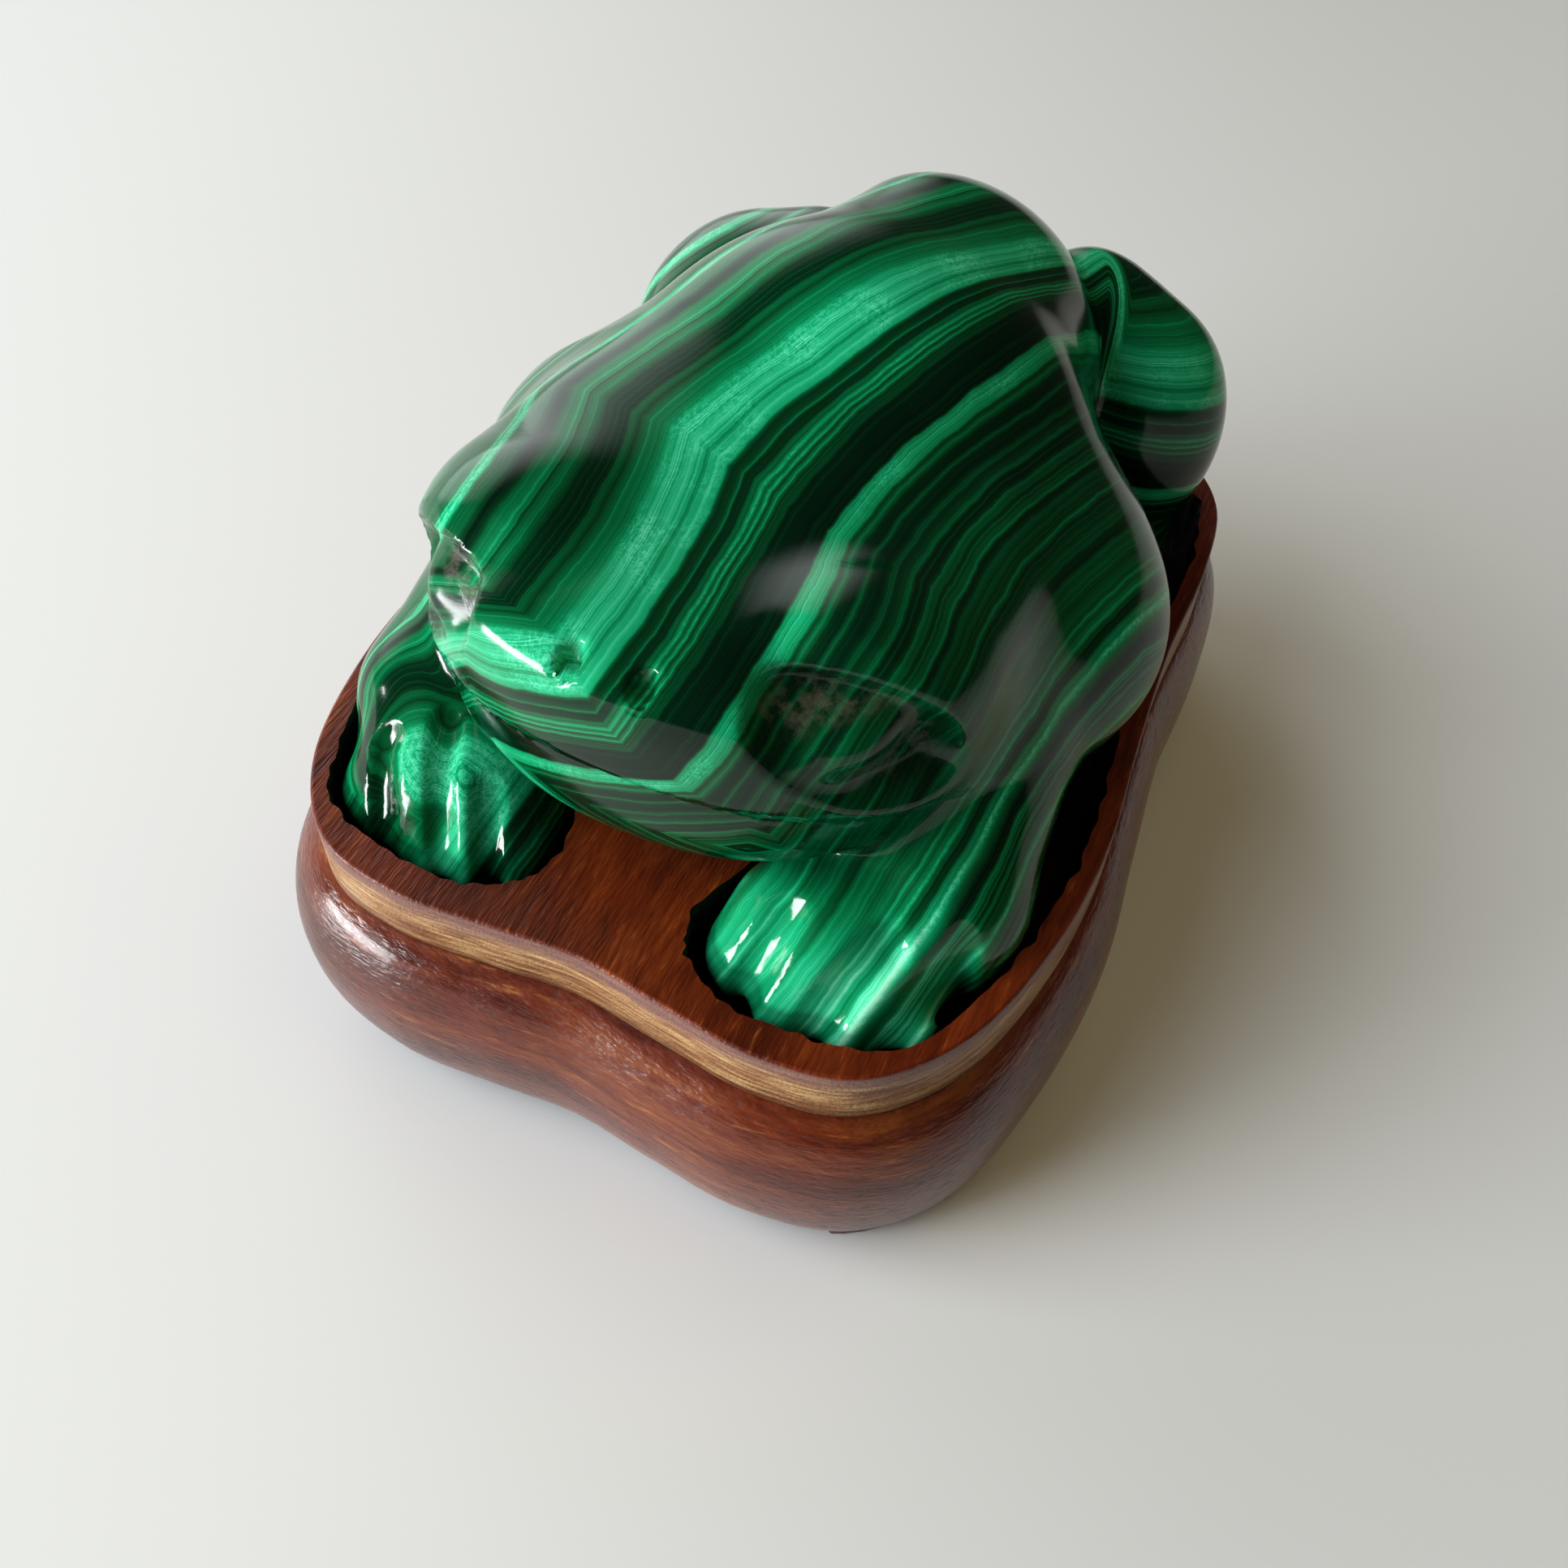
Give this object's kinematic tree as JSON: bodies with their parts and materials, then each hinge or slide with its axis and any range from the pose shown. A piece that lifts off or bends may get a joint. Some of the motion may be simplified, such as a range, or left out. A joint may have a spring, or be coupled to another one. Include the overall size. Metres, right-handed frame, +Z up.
{
  "type": "carved stone frog on a wooden stand",
  "caption": "Crouching frog carved from banded green stone, lifting out of the fitted pocket of a moulded hardwood stand on low corner feet.",
  "frame": {"origin": "centre of the stand's footprint, on the surface that the feet stand on", "axes": "+Z up, the frog looks along -Y, +X is the frog's left"},
  "size_m": [0.086, 0.107, 0.0699],
  "materials": {
    "malachite": "banded green malachite, polished to a high gloss",
    "top_plate_wood": "orange-brown hardwood with fine flecks, satin varnish",
    "base_wood": "red-brown hardwood moulding, semi-gloss varnish",
    "foot_wood": "dark purplish hardwood, satin varnish"
  },
  "bodies": {
    "stand": {"stand_top_plate": "top_plate_wood", "stand_base": "base_wood", "foot_front_left": "foot_wood", "foot_front_right": "foot_wood", "foot_rear_left": "foot_wood", "foot_rear_right": "foot_wood"},
    "frog": {"malachite_frog": "malachite"}
  },
  "joints": [
    {"name": "frog_lift", "type": "slide", "parent": "stand", "child": "frog", "axis": [0, 0, 1], "range_m": [0, 0.04]}
  ]
}
